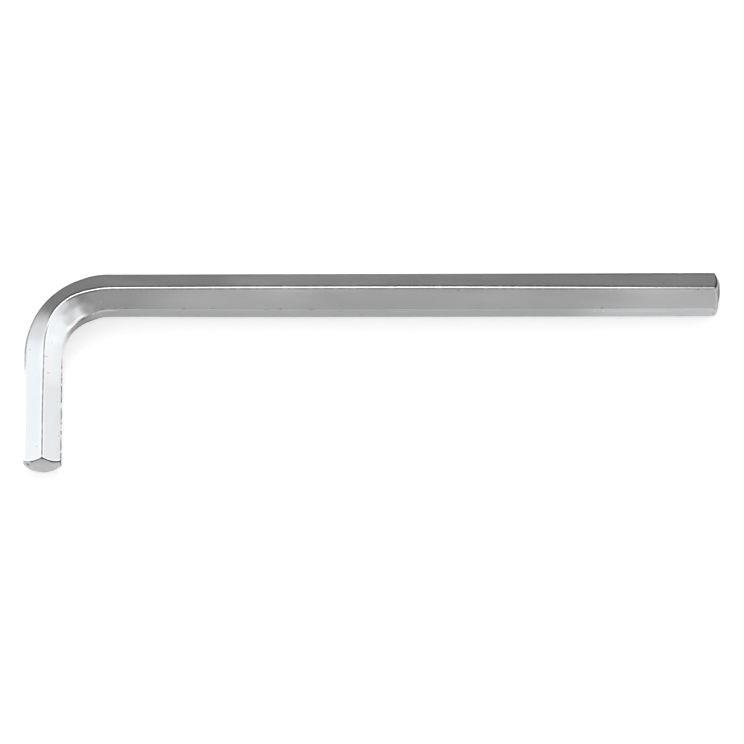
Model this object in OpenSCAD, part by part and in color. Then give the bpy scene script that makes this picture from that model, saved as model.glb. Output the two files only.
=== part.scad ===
// Hex key, long pattern: one drawn hexagonal bar, bent once to a right angle.
// It lies flat on its lower ridge. X runs along the long leg, the short leg points to -Y, and Z is up.
// The origin is the middle of the plan, on the surface that the key lies on.

/* [Bar] */
// Size across the flats, which is the size of the screw it turns
across_flats = 10; // [7:0.5:12]
// What the drawn bar lacks at each of its six ridges, against a sharp hexagon
ridge_loss = 0.06; // [0.02:0.01:0.2]

/* [Legs] */
// Long leg, from the outside of the short leg to its tip
long_leg = 183.5; // [100:0.5:240]
// Short leg, from the outside of the long leg to its tip
short_leg = 53.7; // [45:0.1:90]

/* [Bend] */
// Radius of the bend along the middle of the bar
bend_radius = 15; // [13:0.5:20]
// How far the outer flat is drawn in at the middle of the bend, where the steel stretched
outer_draw = 0.95; // [0.2:0.05:1.2]
// How far the inner flat stands in at the middle of the bend, where the steel gathered
inner_gather = 0.85; // [0.1:0.05:1.2]

/* [Tips] */
// Width of the small flat at each tip
tip_flat = 6.5; // [2:0.25:8]
// Radius of the dome that rounds each tip off
tip_dome_radius = 9; // [8:0.25:14]

/* [Hidden] */
$fn = 96;
// How far a cutting shape reaches past what it cuts
spare = 2;

// Section: flats at half the size across them, ridges on a circle a little inside the sharp corners
half_flats = across_flats / 2;
sharp_radius = half_flats / cos(30);
ridge_radius = sharp_radius - ridge_loss;
key_height = 2 * ridge_radius;
// Half the width of the narrow land that the drawn bar has on each ridge
half_land = across_flats - 2 * ridge_radius * cos(30);
// Lower end of a slope on the outer side, where the land of the next ridge starts
shoulder_x = ridge_radius * cos(30) - half_land / 2;
shoulder_y = ridge_radius / 2 + half_land * cos(30);
// How far out the outer lands and the inner slopes would meet if the upright flats did not cut them
land_point = ridge_radius / cos(30);
slope_point = sharp_radius / tan(30);
// Height on an upright flat where the land above it starts
flat_top = 2 * ridge_radius - across_flats * cos(30);

// Plan: outer faces, centre of the bend, and how far each leg runs on from the bend
left_side = -long_leg / 2;
back_side = short_leg / 2;
bend_x = left_side + half_flats + bend_radius;
bend_y = back_side - half_flats - bend_radius;
long_run = long_leg / 2 - bend_x;
short_run = bend_y + short_leg / 2;
// At 45 degrees an arc passes its square corner at this share of its radius
corner_share = sqrt(2) - 1;
outer_arc = bend_radius + half_flats + outer_draw / corner_share;
inner_arc = bend_radius - half_flats + inner_gather / corner_share;

// Depth of the dome's centre below the small flat of a tip
dome_depth = sqrt(pow(tip_dome_radius, 2) - pow(tip_flat / 2, 2));

// The four slopes of the hexagon, the lands of its top and bottom ridges and those of the outer flat.
// The outer side is at positive x. The upright flats are cut later.
module sloped_section() {
    polygon([
        [half_land, ridge_radius],
        [shoulder_x, shoulder_y],
        [land_point, 0],
        [shoulder_x, -shoulder_y],
        [half_land, -ridge_radius],
        [-half_land, -ridge_radius],
        [-slope_point, 0],
        [-half_land, ridge_radius],
    ]);
}

// Section of what is cut away inside the inner flat, from the flat at x = radius down to x = 0.
// Above and below the flat it leans out over the bar by 30 degrees and so cuts the inner lands.
module inner_waste_section(radius) {
    reach = ridge_radius + spare;
    lean = (reach - flat_top) * tan(30);
    polygon([
        [0, reach],
        [radius + lean, reach],
        [radius, flat_top],
        [radius, -flat_top],
        [radius + lean, -reach],
        [0, -reach],
    ]);
}

// All that a tip loses outside its dome, for a bar that comes from below and ends at z = 0
module tip_waste() {
    translate([0, 0, -dome_depth])
        difference() {
            cylinder(h = dome_depth + spare, r = sharp_radius + spare / 2);
            sphere(r = tip_dome_radius);
        }
}

// A straight run of sloped bar along +Z, with its domed tip at the top
module sloped_leg(run) {
    difference() {
        linear_extrude(height = run)
            sloped_section();
        translate([0, 0, run])
            tip_waste();
    }
}

// The sloped section carried along both legs and round the bend
module sloped_bar() {
    translate([bend_x, bend_y, 0]) {
        rotate([0, 0, 90])
            rotate_extrude(angle = 90)
                translate([bend_radius, 0])
                    sloped_section();
        translate([0, bend_radius, 0])
            rotate([90, 0, 90])
                sloped_leg(long_run);
        translate([-bend_radius, 0, 0])
            rotate([90, 0, 0])
                mirror([1, 0, 0])
                    sloped_leg(short_run);
    }
}

// What is cut away inside the inner flats, carried past both tips and round the inner arc
module inner_waste() {
    translate([left_side + across_flats + inner_arc, back_side - across_flats - inner_arc, 0]) {
        rotate([0, 0, 90])
            rotate_extrude(angle = 90)
                inner_waste_section(inner_arc);
        rotate([90, 0, 90])
            linear_extrude(height = long_leg)
                inner_waste_section(inner_arc);
        rotate([90, 0, 0])
            mirror([1, 0, 0])
                linear_extrude(height = short_leg)
                    inner_waste_section(inner_arc);
    }
}

// The plan within the outer flats, rounded at the bend and run on past both tips
module outer_plan() {
    translate([left_side, back_side])
        difference() {
            translate([0, -short_leg - spare])
                square([long_leg + spare, short_leg + spare]);
            difference() {
                translate([0, -outer_arc])
                    square(outer_arc);
                translate([outer_arc, -outer_arc])
                    circle(r = outer_arc);
            }
        }
}

module hex_key() {
    color([0.78, 0.79, 0.8])
        translate([0, 0, ridge_radius])
            difference() {
                intersection() {
                    sloped_bar();
                    linear_extrude(height = key_height + spare, center = true)
                        outer_plan();
                }
                inner_waste();
            }
}

hex_key();
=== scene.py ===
import math
import bpy
import numpy as np
from mathutils import Matrix, Vector


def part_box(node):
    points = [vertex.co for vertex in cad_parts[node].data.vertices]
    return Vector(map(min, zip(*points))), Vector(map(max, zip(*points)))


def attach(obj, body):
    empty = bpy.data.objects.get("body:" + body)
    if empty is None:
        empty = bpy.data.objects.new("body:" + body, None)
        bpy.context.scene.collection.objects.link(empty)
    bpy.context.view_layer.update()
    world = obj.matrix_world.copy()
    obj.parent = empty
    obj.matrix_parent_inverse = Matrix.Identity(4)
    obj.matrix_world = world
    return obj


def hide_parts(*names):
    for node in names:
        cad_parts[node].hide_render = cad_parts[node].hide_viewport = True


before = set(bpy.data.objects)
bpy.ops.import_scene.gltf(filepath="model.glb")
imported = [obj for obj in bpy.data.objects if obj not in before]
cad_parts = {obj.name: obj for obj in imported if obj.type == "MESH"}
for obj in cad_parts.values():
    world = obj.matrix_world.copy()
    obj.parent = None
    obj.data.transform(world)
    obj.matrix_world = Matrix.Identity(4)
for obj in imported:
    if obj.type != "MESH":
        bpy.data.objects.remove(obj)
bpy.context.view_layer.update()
keyLow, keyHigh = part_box("hex_key")
scene = bpy.context.scene


# Camera: it looks down on the key from in front, with a long lens
view = {
    "elevation": 69.888,  # degrees above the floor
    "bearing": -0.436,  # degrees round from the front
    "roll": 0.277,  # degrees, the right end of the picture lower
    "distance": 2.174,  # metres to the middle of the key
    "pixelsPerMetre": 3795,  # at that distance
    "imageSize": 744,
    "middleAt": (372.853, 372.671),  # pixels across and down, where the middle of the key falls
    "sensorWidth": 36,
    "clipEnd": 30,  # metres
}


def makeCamera():
    elevation, bearing, roll = (math.radians(view[name]) for name in ("elevation", "bearing", "roll"))
    flat = math.cos(elevation)
    right = Vector((math.cos(bearing), math.sin(bearing), 0))
    forward = Vector((-math.sin(bearing) * flat, math.cos(bearing) * flat, -math.sin(elevation)))
    up = right.cross(forward)
    turnedRight = right * math.cos(roll) + up * math.sin(roll)
    turnedUp = up * math.cos(roll) - right * math.sin(roll)
    scale, centre = view["pixelsPerMetre"], view["imageSize"] / 2
    offRight = (view["middleAt"][0] - centre) / scale
    offDown = (view["middleAt"][1] - centre) / scale
    middle = Vector((0, 0, (keyLow.z + keyHigh.z) / 2))
    place = middle - forward * view["distance"] - turnedRight * offRight + turnedUp * offDown
    camera = bpy.data.objects.new("camera", bpy.data.cameras.new("camera"))
    camera.data.sensor_width = view["sensorWidth"]
    camera.data.lens = scale * view["distance"] * view["sensorWidth"] / view["imageSize"]
    camera.data.clip_end = view["clipEnd"]
    turn = Matrix((turnedRight, turnedUp, -forward)).transposed()
    camera.matrix_world = Matrix.Translation(place) @ turn.to_4x4()
    scene.collection.objects.link(camera)
    scene.camera = camera


makeCamera()
print("camera in place")


# Node helpers
def calc(tree, operation, *values):
    # One Math node; each value is a number or a socket
    node = tree.nodes.new("ShaderNodeMath")
    node.operation = operation
    for index, value in enumerate(values):
        plug(tree, value, node.inputs[index])
    return node.outputs[0]


def plug(tree, value, socket):
    # Links a socket, or sets a plain value
    if isinstance(value, bpy.types.NodeSocket):
        tree.links.new(value, socket)
    else:
        socket.default_value = value


def ramp(tree, value, start, end, low=0.0, high=1.0):
    # Smooth step of the value between start and end
    node = tree.nodes.new("ShaderNodeMapRange")
    node.interpolation_type = "SMOOTHSTEP"
    numbers = {"Value": value, "From Min": start, "From Max": end, "To Min": low, "To Max": high}
    for name, number in numbers.items():
        plug(tree, number, node.inputs[name])
    return node.outputs["Result"]


def blendColour(tree, share, first, second):
    # The first colour at share 0, the second at share 1
    node = tree.nodes.new("ShaderNodeMix")
    node.data_type = "RGBA"
    plug(tree, share, node.inputs["Factor"])
    plug(tree, first, node.inputs["A"])
    plug(tree, second, node.inputs["B"])
    return node.outputs["Result"]


def newGroup(name, inputs, outputs):
    # A shader group with named sockets; inputs are (name, type, default)
    tree = bpy.data.node_groups.new(name, "ShaderNodeTree")
    for label, kind, default in inputs:
        socket = tree.interface.new_socket(name=label, in_out="INPUT", socket_type=kind)
        if default is not None:
            socket.default_value = default
    for label, kind in outputs:
        tree.interface.new_socket(name=label, in_out="OUTPUT", socket_type=kind)
    return tree, tree.nodes.new("NodeGroupInput").outputs, tree.nodes.new("NodeGroupOutput").inputs


def useGroup(tree, group, **values):
    node = tree.nodes.new("ShaderNodeGroup")
    node.node_tree = group
    for label, value in values.items():
        plug(tree, value, node.inputs[label])
    return node.outputs


# Studio: white paper all round, grey cards that the steel mirrors, and soft lamps.
# Bearings go round from straight behind the key, positive to the right; heights are above the floor.
studio = {
    "paperWhite": 1.0,
    "paperLight": 0.8,  # share of the paper's white that lights things which are not mirrors
    "floorColour": (0.8, 0.8, 0.8, 1),
    "floorRoughness": 0.9,
    "floorFill": 0.55,  # what the camera and the steel see of the paper's own white
    "farFill": 0.9,  # the same beyond the cards, which keep light from the paper there
    "fillChange": (0.4, 1.4),  # metres from the middle between which the first turns into the second
    "floorHalf": 5.0,  # metres
    "cardDistance": 1.5,  # metres
    "cardTint": (1.0, 0.976, 0.972, 1),  # colour of the grey cards
    "tintTones": (0.6, 1),  # tones between which the tint fades away
    "cardGrid": 40,
}
# Each card has greys at its foot and its top, and fades to white at its left and right sides, top and foot.
# All but the greys is in degrees.
cards = {
    "backCard": {"bearings": (-57.5, 52), "heights": (-1, 36), "fade": (18, 10, 10, 0),
                 "greys": (0.235, 0.235)},
    "frontCard": {"bearings": (145, 214), "heights": (-1, 66), "fade": (11, 10, 8, 0),
                  "greys": (0.5, 0.455)},
    "gapCard": {"bearings": (102, 128), "heights": (24, 62), "fade": (8, 8, 10, 10),
                "greys": (0.7, 0.7)},
}
# Each lamp's bearing and height are in degrees, and its distance and size in metres
lamps = {
    "leftLamp": {"bearing": -84, "height": 30, "distance": 1.3, "size": (0.8, 0.8), "glow": 0.33,
                 "colour": (0.7, 0.88, 1.0)},
    "rightLamp": {"bearing": 86, "height": 35, "distance": 1.3, "size": (0.75, 0.75), "glow": 0.24,
                  "colour": (0.85, 0.98, 1.0)},
    "backStrip": {"bearing": -17, "height": 50, "distance": 1.3, "size": (1.0, 0.42), "glow": 3.0,
                  "colour": (1.0, 1.0, 1.0)},
}


def directionOf(bearing, height):
    # Unit vectors for arrays of bearings and heights in radians
    flat = np.cos(height)
    upward = np.sin(height) * np.ones_like(bearing)
    return np.stack([np.sin(bearing) * flat, np.cos(bearing) * flat, upward], -1)


def gridFaces(rows, columns):
    # Corner numbers of the quads of a grid, one line each
    corner = np.arange(rows * columns).reshape(rows, columns)
    quads = [corner[:-1, :-1], corner[:-1, 1:], corner[1:, 1:], corner[1:, :-1]]
    return np.stack(quads, -1).reshape(-1, 4)


def smooth(value):
    # Rises from 0 to 1 without a kink at either end
    value = np.clip(value, 0, 1)
    return value * value * (3 - 2 * value)


def seenDirectly(tree):
    # 1 for the camera and for what metal and glass show, 0 for light that falls on things, which also
    # holds for a mirror that only a matt surface sees
    path = tree.nodes.new("ShaderNodeLightPath").outputs
    seen = calc(tree, "MAXIMUM", path["Is Camera Ray"], path["Is Glossy Ray"])
    seen = calc(tree, "MAXIMUM", seen, path["Is Transmission Ray"])
    return calc(tree, "MULTIPLY", seen, calc(tree, "LESS_THAN", path["Diffuse Depth"], 0.5))


def paperStrength(tree):
    # White where it is seen, a little less where it only lights things
    return ramp(tree, seenDirectly(tree), 0, 1, studio["paperLight"], studio["paperWhite"])


def makeCardPaper():
    # Paper that shines by each point's tone, tinted where it is grey
    material = bpy.data.materials.new("cardPaper")
    material.use_nodes = True
    tree = material.node_tree
    tree.nodes.clear()
    tone = tree.nodes.new("ShaderNodeAttribute")
    tone.attribute_name = "tone"
    shine = tree.nodes.new("ShaderNodeEmission")
    plug(tree, calc(tree, "MULTIPLY", tone.outputs["Fac"], paperStrength(tree)), shine.inputs["Strength"])
    paleness = ramp(tree, tone.outputs["Fac"], *studio["tintTones"])
    plug(tree, blendColour(tree, paleness, studio["cardTint"], (1, 1, 1, 1)), shine.inputs["Color"])
    plug(tree, shine.outputs[0], tree.nodes.new("ShaderNodeOutputMaterial").inputs["Surface"])
    return material


def makeCard(name, card, paper):
    # Part of a ball round the key between two bearings and two heights. Its grey changes evenly from its
    # foot to its top, times a smooth step to the paper's white at each border.
    count = studio["cardGrid"]
    bearing = np.radians(np.linspace(*card["bearings"], count))[None, :] * np.ones((count, 1))
    height = np.radians(np.linspace(*card["heights"], count))[:, None] * np.ones((1, count))
    points = studio["cardDistance"] * directionOf(bearing, height)
    gaps = [bearing - bearing.min(), bearing.max() - bearing, height.max() - height, height - height.min()]
    share = np.ones((count, count))
    for gap, width in zip(gaps, card["fade"]):
        if width:
            share = share * smooth(gap / math.radians(width))
    rise = np.linspace(0, 1, count)[:, None]
    grey = card["greys"][0] * (1 - rise) + card["greys"][1] * rise
    mesh = bpy.data.meshes.new(name)
    mesh.from_pydata(points.reshape(-1, 3), [], gridFaces(count, count))
    tone = mesh.attributes.new("tone", "FLOAT", "POINT")
    tone.data.foreach_set("value", (1 + (grey - 1) * share).astype(np.float32).ravel())
    mesh.materials.append(paper)
    cardObject = bpy.data.objects.new(name, mesh)
    scene.collection.objects.link(cardObject)
    cardObject.visible_camera = False


def makeLamp(name, lamp):
    # Its glow is the light that it adds to the white paper behind it, where 1 is as bright as the paper
    data = bpy.data.lights.new(name, "AREA")
    data.shape = "RECTANGLE"
    data.size, data.size_y = lamp["size"]
    data.energy = lamp["glow"] * math.pi * data.size * data.size_y
    data.color = lamp["colour"]
    direction = directionOf(math.radians(lamp["bearing"]), math.radians(lamp["height"]))
    place = Vector(direction) * lamp["distance"]
    turn = place.to_track_quat("Z", "Y").to_matrix()
    lightObject = bpy.data.objects.new(name, data)
    lightObject.matrix_world = Matrix.Translation(place) @ turn.to_4x4()
    lightObject.visible_camera = False
    scene.collection.objects.link(lightObject)


def makeFloor():
    # Pale paper that keeps the key's shadow: one square
    half = studio["floorHalf"]
    corners = [(-half, -half, 0), (half, -half, 0), (half, half, 0), (-half, half, 0)]
    mesh = bpy.data.meshes.new("floor")
    mesh.from_pydata(corners, [], [(0, 1, 2, 3)])
    material = bpy.data.materials.new("floorPaper")
    material.use_nodes = True
    tree = material.node_tree
    shader = tree.nodes["Principled BSDF"]
    shader.inputs["Base Color"].default_value = studio["floorColour"]
    shader.inputs["Roughness"].default_value = studio["floorRoughness"]
    shader.inputs["Specular IOR Level"].default_value = 0
    shader.inputs["Emission Color"].default_value = (1, 1, 1, 1)
    outward = tree.nodes.new("ShaderNodeVectorMath")
    outward.operation = "LENGTH"
    plug(tree, tree.nodes.new("ShaderNodeTexCoord").outputs["Object"], outward.inputs[0])
    near, far = studio["fillChange"]
    fill = ramp(tree, outward.outputs["Value"], near, far, studio["floorFill"], studio["farFill"])
    plug(tree, calc(tree, "MULTIPLY", seenDirectly(tree), fill), shader.inputs["Emission Strength"])
    mesh.materials.append(material)
    floor = bpy.data.objects.new("floor", mesh)
    scene.collection.objects.link(floor)


def makeWorld():
    world = bpy.data.worlds.new("paperWorld")
    world.use_nodes = True
    tree = world.node_tree
    paper = tree.nodes["Background"]
    paper.inputs["Color"].default_value = (1, 1, 1, 1)
    plug(tree, paperStrength(tree), paper.inputs["Strength"])
    scene.world = world


makeWorld()
makeFloor()
cardPaper = makeCardPaper()
for cardName, cardSizes in cards.items():
    makeCard(cardName, cardSizes, cardPaper)
for lampName, lampSizes in lamps.items():
    makeLamp(lampName, lampSizes)
scene.view_settings.view_transform = "Standard"
print("studio in place")


# Key: one hexagonal bar, bent once. Lengths in metres.
key = {
    "acrossFlats": 0.010,
    "bendRadius": 0.015,  # along the middle of the bar
    "outerDraw": 0.00095,  # how far the outer flat is drawn in at the middle of the bend
    "innerGather": 0.00085,  # how far the inner flat stands in there
    "bentRidge": 0.0009,  # rounding of the inner ridges at the middle of the bend
    "tipFlat": 0.0065,  # width of the small flat at each tip
    "tipDome": 0.009,  # radius that rounds each tip off
    "rimRound": 0.00010,  # how far the rounding of a tip's rim reaches
    # How much further back a tip is ground on one side: halfway out, at its rim, and towards which side
    # (outwards, upwards)
    "shortTipWear": (0.0003, 0.00085, (0.1, -1)),
    "longTipWear": (0.00042, 0, (-0.8, -0.6)),
    "wearStart": 0.002,  # how far before the middle of the bar that wear begins
    "wearSpan": 0.0045,  # over which it grows
    "bendMargin": 0.004,  # how far past the bend its walls still change
    # Waves of the inner slope; skew is how far they lean over it, in waves
    "bendWave": {"height": 0.00004, "length": 0.010, "peakAt": 0.0467, "skew": 0.9},
    # How far the bar strays outwards from the ideal one, all in millimetres: place along the bar from the
    # short tip, then the strays of the outer flat, the upper ridge and the inner flat
    "stray": {
        "table": [
            (16, 0, 0, 0), (24, 0, -0.12, 0), (31, 0, -0.22, 0), (33, 0, -0.32, 0),
            (35, -0.05, -0.46, 0), (37.5, -0.11, -0.56, 0), (40, -0.12, -0.4, 0.03),
            (41.5, -0.12, -0.27, 0.05), (45.5, -0.15, -0.22, -0.08), (49.3, -0.2, -0.24, -0.18),
            (51.4, -0.21, -0.4, -0.26), (53.3, -0.18, -0.46, -0.3), (55.3, -0.06, -0.39, -0.22),
            (56.2, -0.02, -0.33, -0.15), (57.2, 0, -0.18, -0.06), (58.2, 0, -0.07, 0),
            (60, 0, 0.02, 0.02), (68, 0, 0.06, 0.04), (90, 0, 0.1, -0.12), (120, 0, 0.08, -0.16),
            (150, 0, 0.03, -0.17), (180, 0, -0.15, -0.18), (216, 0, -0.34, -0.18),
        ],
        "window": 3.0,  # over which the table is smoothed
        "step": 0.05,  # between the places at which it is read
        "spare": 5,  # how far it is read past the tips
    },
    "steps": {"flat": 10, "ridge": 8, "shortLeg": 30, "bend": 90, "longLeg": 110, "rim": 5, "dome": 6},
    "flatRings": (0.03, 0.5, 0.97, 1.0),  # rings of points on a tip's small flat, as shares of its radius
    "domeStart": 0.02,  # first ring on the dome, as a share of the way to the rim
    "support": 0.012,  # share of a flat that the narrow strip beside each ridge takes
    "tipSupport": 0.00006,  # length of the narrow strip behind each tip's rim
}
halfFlats = key["acrossFlats"] / 2
ridgeHeight = (keyHigh.z - keyLow.z) / 2
sharpHeight = halfFlats / math.cos(math.pi / 6)
ridgeRound = (sharpHeight - ridgeHeight) / (1 / math.cos(math.pi / 6) - 1)
cornerShare = math.sqrt(2) - 1  # an arc passes its square corner at this share of its radius
outerArc = key["bendRadius"] + halfFlats + key["outerDraw"] / cornerShare
innerArc = key["bendRadius"] - halfFlats + key["innerGather"] / cornerShare
outerCorner = np.array([keyLow.x, keyHigh.y])
aslant = np.array([1, -1])  # from the outer corner towards the inside of the bend
innerCorner = outerCorner + aslant * key["acrossFlats"]
bendCentre = outerCorner + aslant * (halfFlats + key["bendRadius"])
outerCentre = outerCorner + aslant * outerArc
innerCentre = outerCorner + aslant * (key["acrossFlats"] + innerArc)
shortRun = bendCentre[1] - keyLow.y
bendRun = key["bendRadius"] * math.pi / 2
longRun = keyHigh.x - bendCentre[0]
wholeRun = shortRun + bendRun + longRun
girth = 12 * halfFlats * math.tan(math.pi / 6)  # length round the six flats


def middleLine(along):
    # Middle of the bar at each distance from the short tip: a straight line, a quarter circle round the
    # bend's centre and a straight line again. Gives the point and the outward side.
    turn = np.clip((along - shortRun) / key["bendRadius"], 0, math.pi / 2)
    outward = np.stack([-np.cos(turn), np.sin(turn)], -1)
    onward = np.stack([np.sin(turn), np.cos(turn)], -1)
    straight = (along - shortRun - turn * key["bendRadius"])[..., None]
    return bendCentre + outward * key["bendRadius"] + onward * straight, outward


def wallDistance(along, centre, radius, corner, side):
    # How far the outer (side 1) or inner (side -1) wall stands from the middle line: where a ray across
    # the bar meets two straight walls that are joined by a quarter circle
    point, outward = middleLine(along)
    ray = outward * side
    away = point - centre
    nearer = (away * ray).sum(-1)
    root = np.sqrt(np.maximum(nearer**2 - (away**2).sum(-1) + radius**2, 0))
    onCircle = -nearer + side * root
    hit = point + ray * onCircle[:, None]
    inQuarter = (hit[:, 0] <= centre[0]) & (hit[:, 1] >= centre[1])
    steep = np.where(np.abs(ray) > 1e-9, ray, 1e-9)
    onWalls = (corner - point) / steep
    onWalls = np.where(np.abs(ray) > 1e-6, onWalls, np.inf if side > 0 else -np.inf)
    straight = onWalls.min(-1) if side > 0 else onWalls.max(-1)
    return np.where(inQuarter, onCircle, straight)


def bendShare(along):
    # 0 on the legs, rising smoothly to 1 in the middle of the bend
    return smooth(1 - np.abs(along - shortRun - bendRun / 2) / (bendRun / 2))[:, None]


def sectionCorners(along):
    # Sharp corners of the section at each distance, from the upper ridge round by the outer side, as how
    # far out and how far up. The upright flats stand at the two walls, and the slopes fall by 30 degrees.
    outer = wallDistance(along, outerCentre, outerArc, outerCorner, 1)
    inner = wallDistance(along, innerCentre, innerArc, innerCorner, -1)
    top = np.full_like(outer, sharpHeight)
    outerTop = top - outer * math.tan(math.pi / 6)
    innerTop = top - inner * math.tan(math.pi / 6)
    none = np.zeros_like(outer)
    return np.stack([
        np.stack([none, outer, outer, none, -inner, -inner], 1),
        np.stack([top, outerTop, -outerTop, -top, -innerTop, innerTop], 1),
    ], -1)


def slopeWaves(along, places):
    # Soft waves of the inner slope in the bend: a cosine along the bar that runs aslant over the slope,
    # times a hump across the slope and one along the bend. Gives how far out and up they move the slope.
    wave = key["bendWave"]
    hump = np.clip(1 - (2 * places + 1) ** 2, 0, 1) ** 2
    phase = ((along - wave["peakAt"]) / wave["length"])[:, None] + wave["skew"] * places
    rise = wave["height"] * np.cos(2 * math.pi * phase) * bendShare(along) * hump
    return rise[..., None] * np.array([-0.5, math.cos(math.pi / 6)])


def sectionRings(along):
    # Section of the bar at each distance: a hexagon on its ridge, each ridge rounded by an arc that runs
    # from one flat's normal to the next one's, and the waves of the inner slope. Gives how far out and how
    # far up, and the place round the bar in flats, which is 0 on the upper ridge and grows outwards.
    corners = sectionCorners(along)
    edge = np.roll(corners, -1, 1) - corners
    edge /= np.linalg.norm(edge, axis=-1, keepdims=True)
    normal = np.stack([-edge[..., 1], edge[..., 0]], -1)
    normalAngle = np.unwrap(np.arctan2(normal[..., 1], normal[..., 0]), axis=1)
    before = np.roll(normal, 1, 1)
    angleBefore = np.roll(normalAngle, 1, 1)
    angleBefore[:, 0] += 2 * math.pi
    innerRidges = np.array([0, 0, 0, 0, 1, 1])
    rounding = ridgeRound + bendShare(along) * (key["bentRidge"] - ridgeRound) * innerRidges
    inset = (before + normal) / (1 + (before * normal).sum(-1, keepdims=True))
    centre = corners - rounding[..., None] * inset
    steps = key["steps"]
    arcShare = np.linspace(0, 1, steps["ridge"] + 1)
    angle = angleBefore[..., None] * (1 - arcShare) + normalAngle[..., None] * arcShare
    reach = np.stack([np.cos(angle), np.sin(angle)], -1)
    arc = centre[:, :, None, :] + rounding[..., None, None] * reach
    inside = np.linspace(key["support"], 1 - key["support"], steps["flat"] - 1)[None, None, :, None]
    start, end = arc[:, :, -1:, :], np.roll(arc[:, :, :1, :], -1, 1)
    flats = start * (1 - inside) + end * inside
    ring = np.concatenate([arc, flats], 2).reshape(len(along), -1, 2)
    perSide = steps["ridge"] + steps["flat"]
    arcHalf = ridgeRound * math.pi / 6 / (girth / 6)
    arcPlaces = (arcShare * 2 - 1) * arcHalf
    flatPlaces = arcHalf + inside.ravel() * (1 - 2 * arcHalf)
    places = (np.arange(6)[:, None] + np.concatenate([arcPlaces, flatPlaces])[None, :]).ravel()
    # The ring starts in the middle of the lower ridge, where the bar stands, so that its seam is there
    first = 3 * perSide + steps["ridge"] // 2
    places = np.append(places[first:] - 6, places[: first + 1])
    ring = np.roll(ring, -first, 1)
    return ring + slopeWaves(along, places[:-1]), places


def setback(radius):
    # How far the tip's dome lies behind the small flat at each radius from the bar's middle
    dome, flat = key["tipDome"], key["tipFlat"] / 2
    drop = math.sqrt(dome**2 - flat**2) - np.sqrt(dome**2 - radius**2)
    return np.where(radius > flat, drop, 0)


def tipRings(ring):
    # Rows of a tip from its middle out to the side of the bar: rings on the small flat, rings on the dome,
    # and a short curve over the rim. Gives distance behind the flat, and the points as shares of the ring.
    steps, flat = key["steps"], key["tipFlat"] / 2
    rim = np.linalg.norm(ring, axis=-1)
    reach = key["rimRound"]
    inFlat = flat * np.array(key["flatRings"])[:, None] * np.ones_like(rim)
    share = np.concatenate([[key["domeStart"]], np.linspace(0, 1, steps["dome"] + 1)[1:]])[:, None]
    onDome = flat * (1 - share) + (rim - reach) * share
    radius = np.concatenate([inFlat, onDome])
    behind = setback(radius)
    bend = np.linspace(0, 1, steps["rim"] + 1)[1:, None]
    overRim = (1 - bend) ** 2 * (rim - reach) + (2 * (1 - bend) * bend + bend**2) * rim
    rimBehind = (1 - bend) ** 2 * setback(rim - reach) + 2 * (1 - bend) * bend * setback(rim)
    rimBehind = rimBehind + bend**2 * (setback(rim) + reach)
    radius = np.concatenate([radius, overRim])
    return np.concatenate([behind, rimBehind]), radius / rim


def tipWear(points, share, wear):
    # How far each point of a tip is ground back: a hump halfway out and a rise to the rim, which both
    # grow from nothing a little before the middle of the bar to their whole past it
    halfway, atRim, way = wear
    lean = smooth(((points * np.array(way)).sum(-1) + key["wearStart"]) / key["wearSpan"])
    return lean * (halfway * 4 * share * (1 - share) + atRim * share**4)


def makeBar():
    # The bar as one grid: rows from the short tip's middle to the long tip's middle, columns round the bar.
    # Gives the points, the distance along the bar, the distance from the rim of the nearer tip, which is
    # negative on its dome, and the place round the bar.
    steps, margin, support = key["steps"], key["bendMargin"], key["tipSupport"]
    endRing, places = sectionRings(np.array([0.0, wholeRun]))
    behind, share = tipRings(endRing[0])
    tipPoints = endRing[0][None] * share[..., None]
    shortBehind = behind + tipWear(tipPoints, share, key["shortTipWear"])
    longBehind = behind + tipWear(tipPoints, share, key["longTipWear"])
    shortStart, longEnd = shortBehind[-1], wholeRun - longBehind[-1]
    bendStart, bendEnd = shortRun - margin, shortRun + bendRun + margin
    shortShare = np.append(0, np.linspace(0, 1, steps["shortLeg"]))[1:, None]
    shortRows = (shortStart + support) * (1 - shortShare) + bendStart * shortShare
    bendRows = np.linspace(bendStart, bendEnd, steps["bend"])[1:, None] * np.ones_like(shortStart)
    longShare = np.linspace(0, 1, steps["longLeg"])[1:, None]
    longRows = bendEnd * (1 - longShare) + (longEnd - support) * longShare
    body = np.concatenate([shortRows, bendRows, longRows])
    rings = sectionRings(body.mean(1))[0]
    along = np.concatenate([shortBehind, body, (wholeRun - longBehind)[::-1]])
    points = np.concatenate([tipPoints, rings, tipPoints[::-1]])
    points[..., 0] += strayOutwards(along, points)
    middle, outward = middleLine(along)
    plan = middle + outward * points[..., :1]
    height = (keyLow.z + keyHigh.z) / 2 + points[..., 1]
    grid = np.concatenate([plan, height[..., None]], -1)
    rim = np.linalg.norm(endRing[0], axis=-1)
    afterRim = behind[-1] - setback(rim)
    fromRim = np.minimum(along - shortStart, longEnd - along) + afterRim
    inwards = rim * (1 - share)
    fromRim[: len(share)] = np.where(inwards > 0, -inwards, fromRim[: len(share)])
    fromRim[-len(share):] = fromRim[: len(share)][::-1]
    return grid, along, fromRim, places


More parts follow.
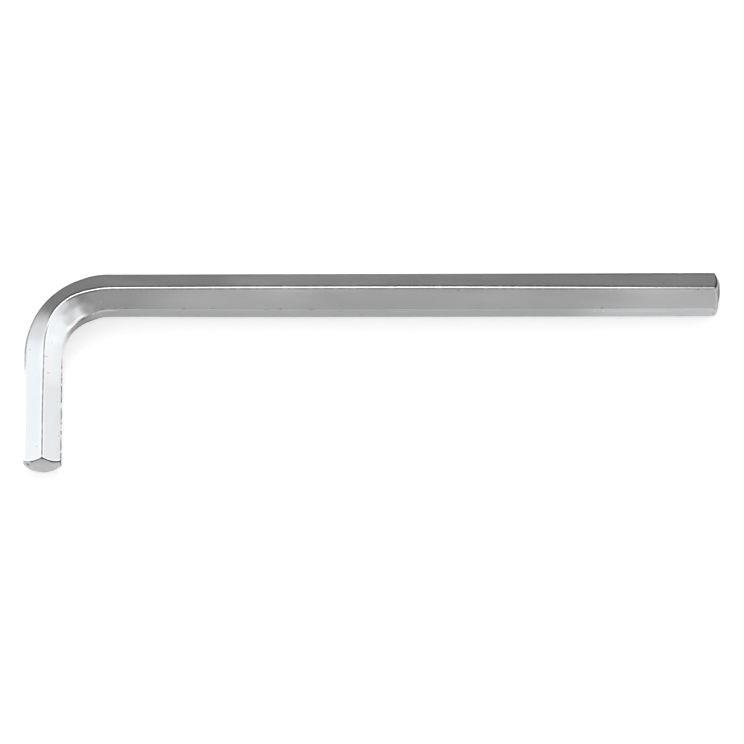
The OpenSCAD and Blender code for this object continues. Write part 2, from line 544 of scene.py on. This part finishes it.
def strayOutwards(along, points):
    # The table of strays, read between its places and smoothed by a Hann window along the bar. Across the
    # bar the stray changes evenly from the inner flat to the ridge and on to the outer flat; the lower half
    # leaves the ridge's own share out.
    stray = key["stray"]
    fine = np.arange(-stray["spare"], wholeRun * 1000 + stray["spare"], stray["step"])
    window = np.hanning(round(stray["window"] / stray["step"]) + 2)
    places, *strays = np.array(stray["table"]).T
    lines = []
    for values in strays:
        padded = np.pad(np.interp(fine, places, values), len(window), "edge")
        evened = np.convolve(padded, window / window.sum(), "same")[len(window): -len(window)]
        lines.append(np.interp(along * 1000, fine, evened) / 1000)
    outer, ridge, inner = lines
    side = points[..., 0] / halfFlats
    middle = (outer + inner) / 2
    upper = np.clip(0.5 + points[..., 1] / halfFlats, 0, 1) * np.clip(1 - np.abs(side), 0, 1)
    return middle + (outer - middle) * side + (ridge - middle) * upper


def barMesh():
    # Closes the grid round the bar, and each tip by a fan of triangles round the middle of its first ring
    grid, along, fromRim, places = makeBar()
    rows, columns = along.shape
    corner = np.arange(rows * columns).reshape(rows, columns)
    onward = np.roll(corner, -1, 1)
    quads = np.stack([corner[:-1], corner[1:], onward[1:], onward[:-1]], -1).reshape(-1, 4)
    shortPole, longPole = rows * columns, rows * columns + 1
    shortFan = np.stack([np.full(columns, shortPole), corner[0], onward[0]], -1)
    longFan = np.stack([np.full(columns, longPole), onward[-1], corner[-1]], -1)
    poles = np.stack([grid[0].mean(0), grid[-1].mean(0)])
    mesh = bpy.data.meshes.new("hexKeyBar")
    faces = quads.tolist() + shortFan.tolist() + longFan.tolist()
    mesh.from_pydata(np.concatenate([grid.reshape(-1, 3), poles]), [], faces)
    # Map of the bar: distance along it over its whole length, and place round it from 0 to 1
    acrossMap = (places + 3) / 6
    alongMap = along / wholeRun
    alongNext = np.roll(alongMap, -1, 1)
    u = np.stack([alongMap[:-1], alongMap[1:], alongNext[1:], alongNext[:-1]], -1)
    v = np.stack([acrossMap[:-1], acrossMap[:-1], acrossMap[1:], acrossMap[1:]], -1)
    v = np.broadcast_to(v[None], u.shape)
    fanMiddle = (acrossMap[:-1] + acrossMap[1:]) / 2
    fanU = np.concatenate([np.zeros(3 * columns), np.ones(3 * columns)])
    fanV = np.concatenate([np.stack([fanMiddle, acrossMap[:-1], acrossMap[1:]], -1).ravel(),
                           np.stack([fanMiddle, acrossMap[1:], acrossMap[:-1]], -1).ravel()])
    layer = mesh.uv_layers.new(name="barMap")
    uv = np.stack([np.append(u.ravel(), fanU), np.append(v.ravel(), fanV)], -1)
    layer.data.foreach_set("uv", uv.astype(np.float32).ravel())
    # Distance from the nearer tip's rim in millimetres
    rimGap = mesh.attributes.new("rimGap", "FLOAT", "POINT")
    gaps = np.append(fromRim.ravel(), [-halfFlats, -halfFlats]).astype(np.float32)
    rimGap.data.foreach_set("value", gaps * 1000)
    mesh.polygons.foreach_set("use_smooth", np.ones(len(mesh.polygons), bool))
    # The ground finish of a tip ends halfway over its rim
    faceRow = np.repeat(np.arange(rows - 1), columns)
    tipRows = len(key["flatRings"]) + 1 + key["steps"]["dome"] + key["steps"]["rim"] // 2
    isTip = (faceRow < tipRows) | (faceRow >= rows - 1 - tipRows)
    isGround = np.append(isTip, np.ones(2 * columns, bool))
    mesh.polygons.foreach_set("material_index", isGround.astype(np.int32))
    mesh.update()
    return mesh


# Steel: what a user would change of the finish. Lengths are in millimetres. Places along the bar are
# counted from the short tip. Places round it are counted in flats from the upper ridge: 1 is the ridge
# above the outer flat, -1 the ridge above the inner flat.
steel = {
    "colour": (0.72, 0.73, 0.74),
    "highlightColour": (0.96, 0.965, 0.97, 1),  # colour of the painted highlights on the edges
    "roughness": 0.2,
    "darkRoughness": 0.15,  # how much rougher the dark marks are
    "pitDepth": 0.02,  # of the dark marks
    "mottle": {"length": 24, "width": 7, "tone": 0.2, "roughness": 0.12},
    "grain": {"length": 14, "width": 0.09, "tone": 0.06, "height": 0.0012, "roughness": 0.08},
    "dashes": {"length": 1.6, "width": 40, "edges": (-0.12, 0.02)},  # break the painted ridge lines, mostly on
    "sparse": {"length": 2.4, "width": 60, "edges": (-0.02, 0.1)},  # the same, mostly off
    "uprightShade": 0.44,  # painted shade: the upright flats are darker, for the shadowed floor that they mirror
    "longTipFrom": (205, 206),  # past which only the long tip is
    # Behind a tip's rim: a narrow painted highlight band, which is painted shade instead on the outer side
    # of the long tip
    "rimHighlight": {"band": (0.08, 0.4, 0.06), "strength": 0.65},
    "rimShade": {"band": (-1, 0.24, 0.06), "strength": 0.92},
}
# Painted light and shade on single faces: the flats that one covers (start, end, soft border), the tone,
# and changes along the bar of how much of it is seen (from, to, before, after)
faceLightAndShade = {
    "innerUprightOnShortLeg": {"flats": (-2, -1, 0.03), "tone": 2.2, "along": [(34, 43.5, 1, 0)]},
    "innerSlopeAtBend": {"flats": (-1, 0, 0.02), "tone": 0.8, "along": [(47, 53, 0, 1), (60, 84, 1, 0)]},
    "innerSlopeAtTip": {"flats": (-1, 0, 0.02), "tone": 1.22, "along": [(168, 216, 0, 1)]},
    "innerUprightAtTip": {"flats": (-2, -1, 0.03), "tone": 1.42, "along": [(174, 196, 0, 1)]},
}
# Painted highlights and painted shade along the ridges. "ridge" is the one that a line lies beside, as a
# place round the bar, and "side" is 1 for outwards and -1 for inwards only. "band" is what it covers from
# there (start, end, soft border), "along" has changes of its strength (from, to, before, after), "dashes"
# its strength in and out of their gaps, and "bend" what the bend adds or at least gives (start, end, soft
# border, strength). A "broken" line is gone in the gaps.
paintedHighlightLines = {
    "upperCore": {"ridge": 0, "band": (-1, 0.13, 0.05),
                  "along": [(39, 46, 0, 1), (180, 202, 1, 0.5), (206, 216, 1, 0.5)]},
    "upperFlank": {"ridge": 0, "band": (0.28, 0.6, 0.08), "along": [(36, 41, 0.7, 0)]},
    "outerEdge": {"ridge": 1, "band": (-1, 0.6, 0.1), "along": [(24, 29, 0.9, 0)]},
    "innerEdge": {"ridge": -1, "side": 1, "band": (-0.1, 0.58, 0.12),
                  "along": [(39, 42, 0, 1), (50, 53, 1, 0)]},
}
paintedShadeLines = {
    "upperCore": {"ridge": 0, "band": (-1, 0.21, 0.07), "along": [(36, 41, 1, 0)], "dashes": (0.44, 0.6)},
    "upperCoreAtTip": {"ridge": 0, "band": (-1, 0.3, 0.08), "along": [(190, 214, 0, 0.42)]},
    "outerFlank": {"ridge": 0, "side": 1, "band": (0.17, 0.9, 0.06),
                   "along": [(38, 43, 0, 1), (196, 212, 1, 0.5)],
                   "dashes": (0.55, 0.7), "bend": ("ADD", (42, 56, 2), 0.1)},
    "innerFlank": {"ridge": 0, "side": -1, "band": (0.19, 0.54, 0.05),
                   "along": [(45, 48, 0, 1), (170, 200, 1, 0.5)],
                   "dashes": (0.2, 0.48), "bend": ("MAXIMUM", (47, 57, 1.5), 0.65)},
    "innerEdge": {"ridge": -1, "band": (-1, 0.28, 0.08), "along": [(27, 31, 0.8, 0)], "broken": True},
    "innerEdgeOnLongLeg": {"ridge": -1, "band": (-1, 0.3, 0.1), "along": [(66, 76, 0, 0.06)]},
}
# Painted shade: dark lines whose strength is a sum: beside the outer ridge that of the bend, the leg and
# the tip, and beside the ridge below the inner flat that of the bend and the sparse dashes
outerLine = {"ridge": 1, "band": (-1, 0.55, 0.1), "dashes": (0.75, 1)}
outerShares = [[(38, 46, 0.4, 0.6), (25, 33, 0, 1), (54, 62, 1, 0)], [(80, 110, 0.1, 0.3)],
               [(150, 208, 0, 0.55)]]
lowerLine = {"ridge": -2, "band": (-1, 0.5, 0.15)}
lowerShare = [(36, 40, 0, 0.4), (50, 54, 1, 0)]
sparseShare = 0.25
# Dark reflections on the inner upright flat in the bend: where they rise and fall below its ridge, where
# they lie along the bar (start, end, soft border), and their strength
bendShades = [
    {"rise": (-0.15, 0.05), "fall": (0.8, 2.6), "along": (46, 52, 3), "strength": 0.8},
    {"rise": (3.4, 5), "fall": (6, 6.9), "along": (43.5, 54.5, 4), "strength": 0.7},
    {"rise": (0.7, 1.3), "fall": (5.7, 6.3), "along": (41.5, 52, 2), "strength": 0.3},
]
# Ground tips. A dark line or spot, painted shade at the edge of the rim or of the small flat, lies in a
# band inside the rim or round the bar's middle and over a span round the bar (start, end, soft border). Its
# strength changes round the bar and with the cloud noise (from, to, before, after).
ground = {
    "colour": (0.48, 0.48, 0.485),
    "roughness": 0.5,
    "speckle": {"length": 0.9, "width": 0.11, "tone": 0.3, "height": 0.004, "roughness": 0.3},
    "cloud": {"size": 2.2, "tone": 0.1},
    "rimShadeCloud": {"inside": (0.2, 0.6, 0.1), "cloud": (0.1, 0.2, 0, 0.5)},
    "shortTip": [
        {"inside": (-0.05, 0.28, 0.05), "cloud": (-0.15, 0.15, 0.6, 0.88), "turn": (0.56, 0.66, 1, 0.2)},
        {"inside": (-0.05, 0.45, 0.06), "span": (-1.1, -0.4, 0.1), "strength": 0.85},
        {"inside": (-0.1, 0.45, 0.08), "span": (-0.05, 0.05, 0.03), "strength": 0.85},
        {"inside": (-0.1, 0.35, 0.08), "span": (0.5, 0.64, 0.03), "strength": 0.75},
        {"inside": (0.85, 1.55, 0.08), "span": (0.89, 1.01, 0.03), "strength": 0.85},
        {"radius": (2.8, 3.8, 0.4), "span": (-2.9, -1.9, 0.3), "strength": 0.35},
    ],
    "longTip": [
        {"inside": (-0.05, 0.46, 0.06), "turn": (-0.06, 0.04, 0.1, 0.94)},
        {"radius": (3.6, 4.6, 0.4), "top": (0, 1, 0.15, 0.65)},
    ],
    "top": (-0.65, 0.45, 0.35),  # span round the bar that counts as the top of the long tip
    "longTipPaintedLight": {"inside": (-0.05, 1.1, 0.2), "turn": (-0.06, 0.04, -0.1, 0.2)},
}
# Small marks, dark pits and painted glints: middle along the bar, middle round it, length, width, strength;
# below 0 it is a painted glint
pitsAndGlints = [
    (1.75, 0.0, 0.5, 0.6, -0.8), (4.7, 0.28, 0.4, 0.6, 0.3), (8.2, -0.88, 0.5, 0.5, 0.3),
    (9.6, 0.0, 0.4, 0.5, -0.6), (25.2, -0.28, 0.35, 1.1, 0.3), (29.7, -0.13, 0.4, 1.0, 0.35),
    (32.2, 0.72, 0.45, 0.45, 0.4), (33.9, -0.4, 0.4, 0.45, 0.25), (42.1, 0.08, 0.8, 0.6, 0.5),
    (42.4, 0.42, 0.6, 0.6, 0.3), (50.7, -1.0, 0.6, 1.6, -0.35), (54.1, -1.1, 0.5, 2.0, -0.4),
    (57.2, -0.6, 0.7, 0.6, -0.3), (57.7, -0.96, 1.1, 0.35, 0.55), (58.2, -1.15, 7.5, 0.7, -0.45),
    (60.9, -0.96, 1.3, 0.25, 0.35), (63.9, -0.96, 1.0, 0.3, 0.5), (79.3, -0.96, 0.6, 0.45, 0.6),
    (86.9, -0.96, 0.9, 0.3, 0.35), (101.0, -1.0, 2.8, 0.25, 0.4), (104.7, -0.98, 0.7, 0.4, 0.5),
    (112.7, -1.0, 1.5, 0.35, 0.55), (120.6, -1.24, 0.6, 0.5, 0.4), (125.9, -1.6, 1.0, 0.5, 0.3),
    (136.1, -1.3, 6.4, 0.5, -0.2), (151.6, -0.16, 0.7, 0.45, 0.35), (182.1, 0.66, 0.6, 0.6, 0.55),
    (187.5, -1.3, 0.8, 0.7, -0.3), (189.5, -0.95, 0.7, 0.45, 0.65), (189.9, -1.25, 0.6, 0.8, -0.4),
    (194.6, -1.9, 1.0, 0.4, 0.4), (200.7, -1.3, 24.0, 1.2, -0.1), (202.0, -1.1, 0.5, 0.6, 0.3),
    (205.7, 0.32, 0.9, 1.0, 0.4), (211.0, -1.93, 2.8, 0.3, 0.5), (214.8, -0.08, 1.2, 0.5, 0.45),
    (219.0, -1.6, 0.6, 1.2, 0.4), (219.2, -1.0, 0.7, 0.6, 0.5), (219.3, -0.08, 0.5, 0.45, -0.9),
]
# Wide faint patches, given the same way: partly the plating's own tone, partly painted light and shade on
# the bend; below 0 they are darker
toneAndShadePatches = [
    (111.7, 0.5, 44.0, 10.0, 0.13), (151.7, 0.5, 40.0, 10.0, -0.07), (200.0, 0.5, 50.0, 10.0, 0.08),
    (95.7, -0.5, 40.0, 10.0, 0.09), (45.0, -0.8, 5.0, 4.0, 0.1), (48.7, -0.25, 8.0, 3.5, -0.2),
    (50.2, -0.45, 9.0, 8.0, -0.15), (45.2, -0.1, 5.0, 3.0, 0.2), (29.3, -0.5, 16.0, 9.0, 0.11),
    (50.8, -0.8, 8.5, 5.0, 0.22),
]
flatWidth = girth / 6 * 1000  # millimetres


def chain(tree, operation, values):
    # Any number of values and sockets, joined one after the other by Math nodes of one kind
    result = values[0]
    for value in values[1:]:
        result = calc(tree, operation, result, value)
    return result


def product(tree, *values):
    return chain(tree, "MULTIPLY", values)


def most(tree, *values):
    return chain(tree, "MAXIMUM", values)


def total(tree, *values):
    return chain(tree, "ADD", values)


def vectorCalc(tree, operation, first, second):
    node = tree.nodes.new("ShaderNodeVectorMath")
    node.operation = operation
    plug(tree, first, node.inputs[0])
    plug(tree, second, node.inputs["Scale"] if operation == "SCALE" else node.inputs[1])
    return node.outputs["Vector"]


def combine(tree, *values):
    node = tree.nodes.new("ShaderNodeCombineXYZ")
    for index, value in enumerate(values):
        plug(tree, value, node.inputs[index])
    return node.outputs["Vector"]


def makePlaceOnBar():
    # Turns the bar's own map into millimetres along it, the place round it in flats, and a place for
    # patterns in which the way round the bar is a circle, so that no seam shows
    tree, given, result = newGroup(
        "placeOnBar", [("Map", "NodeSocketVector", None)],
        [("Along", "NodeSocketFloat"), ("Round", "NodeSocketFloat"), ("Pattern", "NodeSocketVector")])
    parts = tree.nodes.new("ShaderNodeSeparateXYZ")
    plug(tree, given["Map"], parts.inputs[0])
    along = calc(tree, "MULTIPLY", parts.outputs[0], wholeRun * 1000)
    around = calc(tree, "MULTIPLY_ADD", parts.outputs[1], 6, -3)
    angle = calc(tree, "MULTIPLY", parts.outputs[1], 2 * math.pi)
    radius = girth * 1000 / (2 * math.pi)
    across = calc(tree, "MULTIPLY", calc(tree, "COSINE", angle), radius)
    upward = calc(tree, "MULTIPLY", calc(tree, "SINE", angle), radius)
    plug(tree, along, result["Along"])
    plug(tree, around, result["Round"])
    plug(tree, combine(tree, along, across, upward), result["Pattern"])
    return tree


def makeDrawnGrain():
    # Noise stretched along the first axis of the pattern, about -0.3 to 0.3
    tree, given, result = newGroup(
        "drawnGrain", [("Pattern", "NodeSocketVector", None), ("Length", "NodeSocketFloat", 10.0),
                       ("Width", "NodeSocketFloat", 0.1)], [("Value", "NodeSocketFloat")])
    lengthways = calc(tree, "DIVIDE", 1, given["Length"])
    sideways = calc(tree, "DIVIDE", 1, given["Width"])
    noise = tree.nodes.new("ShaderNodeTexNoise")
    noise.inputs["Scale"].default_value = 1
    noise.inputs["Detail"].default_value = 3
    scaled = vectorCalc(tree, "MULTIPLY", given["Pattern"], combine(tree, lengthways, sideways, sideways))
    plug(tree, scaled, noise.inputs["Vector"])
    plug(tree, calc(tree, "SUBTRACT", noise.outputs[0], 0.5), result["Value"])
    return tree


def makeEdgeLine():
    # 1 where the gap lies between near and far, with soft borders
    names = ("Gap", "Near", "Far", "Soft")
    tree, given, result = newGroup(
        "edgeLine", [(name, "NodeSocketFloat", 0.1) for name in names], [("Mask", "NodeSocketFloat")])
    nearStart = calc(tree, "SUBTRACT", given["Near"], given["Soft"])
    nearEnd = calc(tree, "ADD", given["Near"], given["Soft"])
    farStart = calc(tree, "SUBTRACT", given["Far"], given["Soft"])
    farEnd = calc(tree, "ADD", given["Far"], given["Soft"])
    inside = ramp(tree, given["Gap"], nearStart, nearEnd)
    outside = ramp(tree, given["Gap"], farStart, farEnd, 1, 0)
    plug(tree, product(tree, inside, outside), result["Mask"])
    return tree


def makeStrayMark():
    # An oval spot: 1 in its middle, 0 at its border
    names = ("Along", "Round", "MiddleAlong", "MiddleRound", "Length", "Width")
    tree, given, result = newGroup(
        "strayMark", [(name, "NodeSocketFloat", 1.0) for name in names], [("Mask", "NodeSocketFloat")])
    alongGap = calc(tree, "SUBTRACT", given["Along"], given["MiddleAlong"])
    roundGap = calc(tree, "SUBTRACT", given["Round"], given["MiddleRound"])
    alongGap = calc(tree, "DIVIDE", alongGap, calc(tree, "MULTIPLY", given["Length"], 0.5))
    roundGap = calc(tree, "DIVIDE", roundGap, calc(tree, "MULTIPLY", given["Width"], 0.5 / flatWidth))
    reach = calc(tree, "ADD", product(tree, alongGap, alongGap), product(tree, roundGap, roundGap))
    plug(tree, ramp(tree, reach, 0.2, 1.2, 1, 0), result["Mask"])
    return tree


placeOnBar = makePlaceOnBar()
drawnGrain = makeDrawnGrain()
edgeLine = makeEdgeLine()
strayMark = makeStrayMark()
print("groups made")


def grainOn(tree, pattern, length, width):
    return useGroup(tree, drawnGrain, Pattern=pattern, Length=length, Width=width)["Value"]


def dashesOn(tree, pattern, dashes):
    # 1 on the dashes, 0 in their gaps
    return ramp(tree, grainOn(tree, pattern, dashes["length"], dashes["width"]), *dashes["edges"])


def band(tree, gap, near, far, soft):
    return useGroup(tree, edgeLine, Gap=gap, Near=near, Far=far, Soft=soft)["Mask"]


def newSteel(name):
    # A material with the bar's own places at hand
    material = bpy.data.materials.new(name)
    material.use_nodes = True
    tree = material.node_tree
    barMap = tree.nodes.new("ShaderNodeUVMap")
    barMap.uv_map = "barMap"
    place = useGroup(tree, placeOnBar, Map=barMap.outputs["UV"])
    rim = tree.nodes.new("ShaderNodeAttribute")
    rim.attribute_name = "rimGap"
    return material, tree, tree.nodes["Principled BSDF"], place, rim.outputs["Fac"]


def finishSteel(tree, shader, colour, roughness, height):
    bump = tree.nodes.new("ShaderNodeBump")
    bump.inputs["Distance"].default_value = 0.001  # heights are in millimetres
    plug(tree, height, bump.inputs["Height"])
    plug(tree, bump.outputs[0], shader.inputs["Normal"])
    plug(tree, colour, shader.inputs["Base Color"])
    plug(tree, roughness, shader.inputs["Roughness"])
    shader.inputs["Metallic"].default_value = 1


def strayMarks(tree, along, around, rows):
    # The mask of each row of a table of marks, with its strength
    for middleAlong, middleRound, length, width, strength in rows:
        spot = useGroup(tree, strayMark, Along=along, Round=around, MiddleAlong=middleAlong,
                        MiddleRound=middleRound, Length=length, Width=width)["Mask"]
        yield product(tree, spot, abs(strength)), strength > 0


def changeAlong(tree, along, changes, mask=1):
    # The mask times smooth changes along the bar
    for change in changes:
        mask = product(tree, mask, ramp(tree, along, *change))
    return mask


def paintedRidgeLine(tree, line, along, around, dashes):
    # One line beside a ridge, as its row of the tables above says
    gap = calc(tree, "MULTIPLY_ADD", around, flatWidth, -line["ridge"] * flatWidth)
    gap = product(tree, gap, line["side"]) if "side" in line else calc(tree, "ABSOLUTE", gap)
    mask = changeAlong(tree, along, line.get("along", []), band(tree, gap, *line["band"]))
    if "broken" in line:
        mask = product(tree, mask, dashes)
    if "dashes" not in line:
        return mask
    strength = ramp(tree, dashes, 0, 1, *line["dashes"])
    if "bend" in line:
        operation, where, share = line["bend"]
        strength = calc(tree, operation, strength, product(tree, band(tree, along, *where), share))
    return product(tree, mask, strength)


def toneAndPaintedLight(tree, along, around, mottle, grain):
    # Slow changes of the colour: painted light and shade by face, the plating's mottling and grain, and
    # patches that are partly painted light and shade
    turned = calc(tree, "ABSOLUTE", around)
    # Painted shade: the upright flats are darker
    tone = ramp(tree, band(tree, turned, 1, 2, 0.03), 0, 1, 1, steel["uprightShade"])
    # Painted light and shade on single faces
    for face in faceLightAndShade.values():
        share = changeAlong(tree, along, face["along"], band(tree, around, *face["flats"]))
        tone = product(tree, tone, ramp(tree, share, 0, 1, 1, face["tone"]))
    change = total(tree, product(tree, mottle, steel["mottle"]["tone"]),
                   product(tree, grain, steel["grain"]["tone"]))
    # Patches: partly the plating's own tone, partly painted light and shade
    for patch, isPaler in strayMarks(tree, along, around, toneAndShadePatches):
        change = calc(tree, "ADD" if isPaler else "SUBTRACT", change, patch)
    return product(tree, tone, calc(tree, "ADD", change, 1))


def makePlatedSteel():
    # Bright plating: its tone with painted light and shade, then painted highlights and shade along the
    # ridges, pits and painted glints, and painted highlight and shade bands at the rims
    material, tree, shader, place, rimGap = newSteel("platedSteel")
    along, around, pattern = place["Along"], place["Round"], place["Pattern"]
    mottle = grainOn(tree, pattern, steel["mottle"]["length"], steel["mottle"]["width"])
    grain = grainOn(tree, pattern, steel["grain"]["length"], steel["grain"]["width"])
    dashes = dashesOn(tree, pattern, steel["dashes"])
    sparse = dashesOn(tree, pattern, steel["sparse"])
    tone = toneAndPaintedLight(tree, along, around, mottle, grain)

    # Upper ridge: a painted highlight between two painted dark lines on the long leg and the bend, painted
    # shade on the
    # short leg. Inner ridge: a broken painted dark line on the short leg, a painted highlight in the bend.
    # Outer ridge: a painted highlight on the short leg, then painted shade.
    # Painted highlights and painted shade along the ridges
    bright = [paintedRidgeLine(tree, line, along, around, dashes) for line in paintedHighlightLines.values()]
    dark = [paintedRidgeLine(tree, line, along, around, dashes) for line in paintedShadeLines.values()]
    # Painted shade beside the outer ridge and beside the ridge below the inner flat
    outerShare = total(tree, *(changeAlong(tree, along, changes) for changes in outerShares))
    dark.append(product(tree, paintedRidgeLine(tree, outerLine, along, around, dashes), outerShare))
    share = total(tree, changeAlong(tree, along, lowerShare), product(tree, sparse, sparseShare))
    dark.append(product(tree, paintedRidgeLine(tree, lowerLine, along, around, dashes), share))
    belowInner = calc(tree, "MULTIPLY_ADD", around, -flatWidth, -flatWidth)
    for shade in bendShades:
        across = product(tree, ramp(tree, belowInner, *shade["rise"]),
                         ramp(tree, belowInner, *shade["fall"], 1, 0))
        dark.append(product(tree, across, band(tree, along, *shade["along"]), shade["strength"]))

    # Behind the rim of each tip: a narrow painted highlight band, or painted shade on the outer side of the
    # long tip
    onLongTip = ramp(tree, along, *steel["longTipFrom"])
    outerEnd = product(tree, onLongTip, ramp(tree, around, -0.06, 0.04))
    innerEnd = product(tree, onLongTip, ramp(tree, around, -1.04, -0.96, 1, 0))
    rimHighlight, rimShade = steel["rimHighlight"], steel["rimShade"]
    notOuter = ramp(tree, outerEnd, 0, 1, rimHighlight["strength"], 0)
    notInner = ramp(tree, innerEnd, 0, 1, 1, 0)
    bright.append(product(tree, band(tree, rimGap, *rimHighlight["band"]), notOuter, notInner))
    dark.append(product(tree, band(tree, rimGap, *rimShade["band"]), outerEnd, rimShade["strength"]))

    # Small marks: dark pits, and painted glints which also lie over the dark lines
    spots = list(strayMarks(tree, along, around, pitsAndGlints))
    darkMarks = most(tree, *(spot for spot, isDark in spots if isDark))
    paintedGlints = most(tree, *(spot for spot, isDark in spots if not isDark))
    darkness = product(tree, most(tree, *dark, darkMarks), calc(tree, "SUBTRACT", 1, paintedGlints))
    colour = vectorCalc(tree, "SCALE", steel["colour"], tone)
    # Painted highlights and glints blend towards the highlight colour
    colour = blendColour(tree, most(tree, *bright, paintedGlints), colour, steel["highlightColour"])
    colour = vectorCalc(tree, "SCALE", colour, calc(tree, "SUBTRACT", 1, darkness))
    roughness = total(tree, product(tree, mottle, steel["mottle"]["roughness"]),
                      product(tree, grain, steel["grain"]["roughness"]),
                      product(tree, darkness, steel["darkRoughness"]), steel["roughness"])
    height = total(tree, product(tree, grain, steel["grain"]["height"]),
                   product(tree, darkMarks, -steel["pitDepth"]))
    finishSteel(tree, shader, colour, roughness, height)
    return material


def tipLine(tree, line, given):
    # Product of what a line on a tip has: bands, changes and its strength
    mask = line.get("strength", 1)
    for name, shape in (("inside", band), ("radius", band), ("span", band),
                        ("turn", ramp), ("cloud", ramp), ("top", ramp)):
        if name in line:
            mask = product(tree, mask, shape(tree, given[name], *line[name]))
    return mask


def makeGroundEnd():
    # Matt ground face of a tip, with short upright grinding lines, and painted shade as dark lines and
    # rings near its rim
    material, tree, shader, place, rimGap = newSteel("groundEnd")
    around = place["Round"]
    spot = tree.nodes.new("ShaderNodeTexCoord").outputs["Object"]
    parts = tree.nodes.new("ShaderNodeSeparateXYZ")
    plug(tree, vectorCalc(tree, "SCALE", spot, 1000.0), parts.inputs[0])
    upFirst = combine(tree, parts.outputs[2], parts.outputs[0], parts.outputs[1])
    speckle = grainOn(tree, upFirst, ground["speckle"]["length"], ground["speckle"]["width"])
    cloud = grainOn(tree, upFirst, ground["cloud"]["size"], ground["cloud"]["size"])
    inward = calc(tree, "MULTIPLY", rimGap, -1)
    # The bar's rim lies at half its flats over the cosine of the turn from the middle of the flat
    turn = calc(tree, "MULTIPLY_ADD", calc(tree, "FRACT", around), math.pi / 3, -math.pi / 6)
    rimRadius = calc(tree, "DIVIDE", halfFlats * 1000, calc(tree, "COSINE", turn))
    given = {"inside": inward, "radius": calc(tree, "SUBTRACT", rimRadius, inward), "span": around,
             "turn": around, "cloud": cloud, "top": band(tree, around, *ground["top"])}

    onLongTip = ramp(tree, place["Along"], *steel["longTipFrom"])
    # Painted shade at the edges of the rims and of the small flats
    shortDark = most(tree, *(tipLine(tree, line, given) for line in ground["shortTip"]))
    longDark = most(tree, *(tipLine(tree, line, given) for line in ground["longTip"]))
    dark = most(tree, product(tree, shortDark, calc(tree, "SUBTRACT", 1, onLongTip)),
                product(tree, longDark, onLongTip), tipLine(tree, ground["rimShadeCloud"], given))
    # Painted light: a paler band inside the long tip's rim
    paler = product(tree, tipLine(tree, ground["longTipPaintedLight"], given), onLongTip)
    tone = total(tree, product(tree, speckle, ground["speckle"]["tone"]),
                 product(tree, cloud, ground["cloud"]["tone"]), paler, 1)
    tone = product(tree, tone, calc(tree, "SUBTRACT", 1, dark))
    colour = vectorCalc(tree, "SCALE", ground["colour"], tone)
    roughness = calc(tree, "MULTIPLY_ADD", speckle, ground["speckle"]["roughness"], ground["roughness"])
    finishSteel(tree, shader, colour, roughness, product(tree, speckle, ground["speckle"]["height"]))
    return material


hexKeyBar = bpy.data.objects.new("hexKeyBar", barMesh())
hexKeyBar.data.materials.append(makePlatedSteel())
hexKeyBar.data.materials.append(makeGroundEnd())
scene.collection.objects.link(hexKeyBar)
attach(hexKeyBar, "root")
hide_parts("hex_key")
print("bar made:", len(hexKeyBar.data.polygons), "faces")
